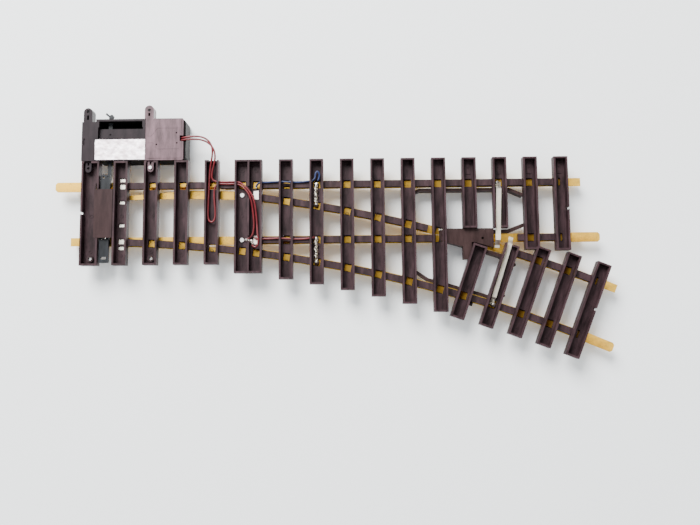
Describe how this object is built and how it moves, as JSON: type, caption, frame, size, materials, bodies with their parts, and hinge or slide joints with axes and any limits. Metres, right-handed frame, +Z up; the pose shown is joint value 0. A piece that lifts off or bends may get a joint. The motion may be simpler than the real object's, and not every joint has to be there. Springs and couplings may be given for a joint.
{
  "type": "model turnout switch",
  "caption": "Left-hand electric turnout for 45 mm gauge model track: brass rails on hollow plastic sleepers, pivoting point blades and a side drive",
  "frame": {"origin": "toe end of the straight route: on the track centreline, in the plane of the rail ends, at the ground plane under the sleepers", "axes": "+X along the straight route away from the points end, +Y towards the diverging side, +Z up from the sleepers to the rail heads"},
  "size_m": [0.4823, 0.2214, 0.019],
  "materials": {
    "sleeper_plastic": "dark brown moulded, slightly weathered",
    "frog_plastic": "dark brown moulded",
    "casing_plastic": "brown, smooth moulded",
    "housing_plastic": "near black brown",
    "slider_plastic": "dark grey acetal",
    "rail_brass": "drawn brass, dull foot and bright head",
    "tinned_sheet": "bright tinned sheet",
    "solder": "bright solder",
    "bright_steel": "nickelled",
    "pinion_brass": "machined",
    "silver_foil": "silvered film, blank",
    "red_wire": "soft insulation",
    "blue_wire": "soft insulation"
  },
  "bodies": {
    "track_bed": {"bare_links": "solder", "blue_jumper": "blue_wire", "closure_rail_curved": "rail_brass", "closure_rail_straight": "rail_brass", "drive_base": "casing_plastic", "drive_cover": "casing_plastic", "drive_foil": "silver_foil", "drive_housing": "housing_plastic", "drive_motor": "bright_steel", "exit_rail_curved": "rail_brass", "exit_rail_straight": "rail_brass", "frog": "frog_plastic", "guard_rail_curved": "frog_plastic", "guard_rail_straight": "frog_plastic", "heel_contacts": "tinned_sheet", "jumper_strips": "tinned_sheet", "mounting_screw": "bright_steel", "pivot_rivets": "bright_steel", "rail_joiners": "rail_brass", "red_jumper": "red_wire", "red_lead_a": "red_wire", "red_lead_b": "red_wire", "sleeper_01": "sleeper_plastic", "sleeper_02": "sleeper_plastic", "sleeper_03": "sleeper_plastic", "sleeper_04": "sleeper_plastic", "sleeper_05": "sleeper_plastic", "sleeper_08": "sleeper_plastic", "sleeper_09": "sleeper_plastic", "sleeper_10": "sleeper_plastic", "sleeper_11": "sleeper_plastic", "sleeper_12": "sleeper_plastic", "sleeper_13": "sleeper_plastic", "sleeper_14": "sleeper_plastic", "sleeper_15": "sleeper_plastic", "sleeper_16": "sleeper_plastic", "sleeper_17": "sleeper_plastic", "sleeper_fan_1": "sleeper_plastic", "sleeper_fan_2": "sleeper_plastic", "sleeper_fan_3": "sleeper_plastic", "sleeper_fan_4": "sleeper_plastic", "sleeper_fan_5": "sleeper_plastic", "sleeper_heel": "sleeper_plastic", "slide_plates": "tinned_sheet", "solder_joints": "solder", "stock_rail_curved": "rail_brass", "stock_rail_straight": "rail_brass", "throw_bar_cover": "casing_plastic", "ties_inner_rails": "sleeper_plastic", "ties_stock_rails": "sleeper_plastic"},
    "throw_slide": {"throw_bar": "slider_plastic", "drive_slider": "slider_plastic"},
    "blade_straight": {"point_blade_straight": "rail_brass", "blade_pin_straight": "bright_steel"},
    "blade_curved": {"point_blade_curved": "rail_brass", "blade_pin_curved": "bright_steel"},
    "motor_rotor": {"drive_pinion": "pinion_brass", "motor_shaft": "bright_steel", "motor_armature": "bright_steel"}
  },
  "joints": [
    {"name": "throw", "type": "slide", "parent": "track_bed", "child": "throw_slide", "axis": [0, 1, 0], "range_m": [-0.0085, 0]},
    {"name": "blade_straight_pivot", "type": "hinge", "parent": "track_bed", "child": "blade_straight", "pos_m": [0.148, 0.024, 0.008], "axis": [0, 0, 1], "range_deg": [0, 4.2]},
    {"name": "blade_curved_pivot", "type": "hinge", "parent": "track_bed", "child": "blade_curved", "pos_m": [0.148, -0.01498, 0.008], "axis": [0, 0, 1], "range_deg": [0, 4.2]},
    {"name": "motor_spin", "type": "hinge", "parent": "track_bed", "child": "motor_rotor", "pos_m": [0.036, -0.062, 0.01075], "axis": [1, 0, 0], "range_deg": [-163, 0]}
  ],
  "couplings": [
    {"joint": "blade_straight_pivot", "follows": "throw", "rad_per_m": -8.4746},
    {"joint": "blade_curved_pivot", "follows": "throw", "rad_per_m": -8.4746},
    {"joint": "motor_spin", "follows": "throw", "rad_per_m": 333.33}
  ]
}
